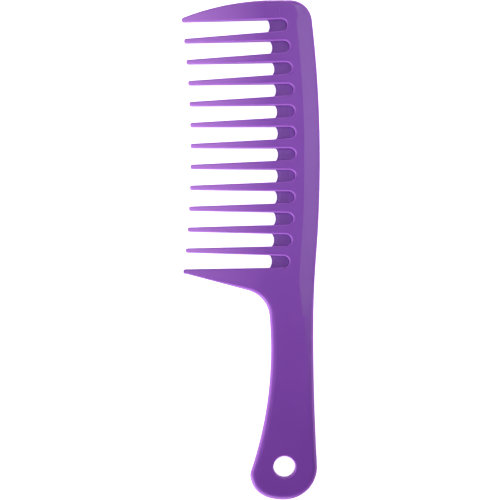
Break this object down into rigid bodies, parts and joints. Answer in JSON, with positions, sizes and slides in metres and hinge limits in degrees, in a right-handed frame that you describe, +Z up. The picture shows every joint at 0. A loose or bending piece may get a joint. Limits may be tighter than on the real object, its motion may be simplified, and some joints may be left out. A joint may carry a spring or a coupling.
{
  "type": "wide tooth comb",
  "caption": "One-piece moulded wide tooth comb with a curved back, pocketed slots, tapered teeth between two guard teeth, and a waisted handle with a hang hole.",
  "frame": {"origin": "on the underside, at the middle of the comb's length and width, as it lies flat", "axes": "+Y along the comb from the handle's butt to the head end, -X the way the teeth point, +X towards the back, +Z up through the thickness"},
  "size_m": [0.0665, 0.24, 0.006],
  "materials": {
    "comb_plastic": "satin"
  },
  "bodies": {
    "root": {"back": "comb_plastic", "handle": "comb_plastic", "guard_front": "comb_plastic", "guard_rear": "comb_plastic", "tooth_01": "comb_plastic", "tooth_02": "comb_plastic", "tooth_03": "comb_plastic", "tooth_04": "comb_plastic", "tooth_05": "comb_plastic", "tooth_06": "comb_plastic", "tooth_07": "comb_plastic", "tooth_08": "comb_plastic", "tooth_09": "comb_plastic", "tooth_10": "comb_plastic", "tooth_11": "comb_plastic", "web_01": "comb_plastic", "web_02": "comb_plastic", "web_03": "comb_plastic", "web_04": "comb_plastic", "web_05": "comb_plastic", "web_06": "comb_plastic", "web_07": "comb_plastic", "web_08": "comb_plastic", "web_09": "comb_plastic", "web_10": "comb_plastic", "web_11": "comb_plastic", "web_12": "comb_plastic"}
  },
  "joints": []
}
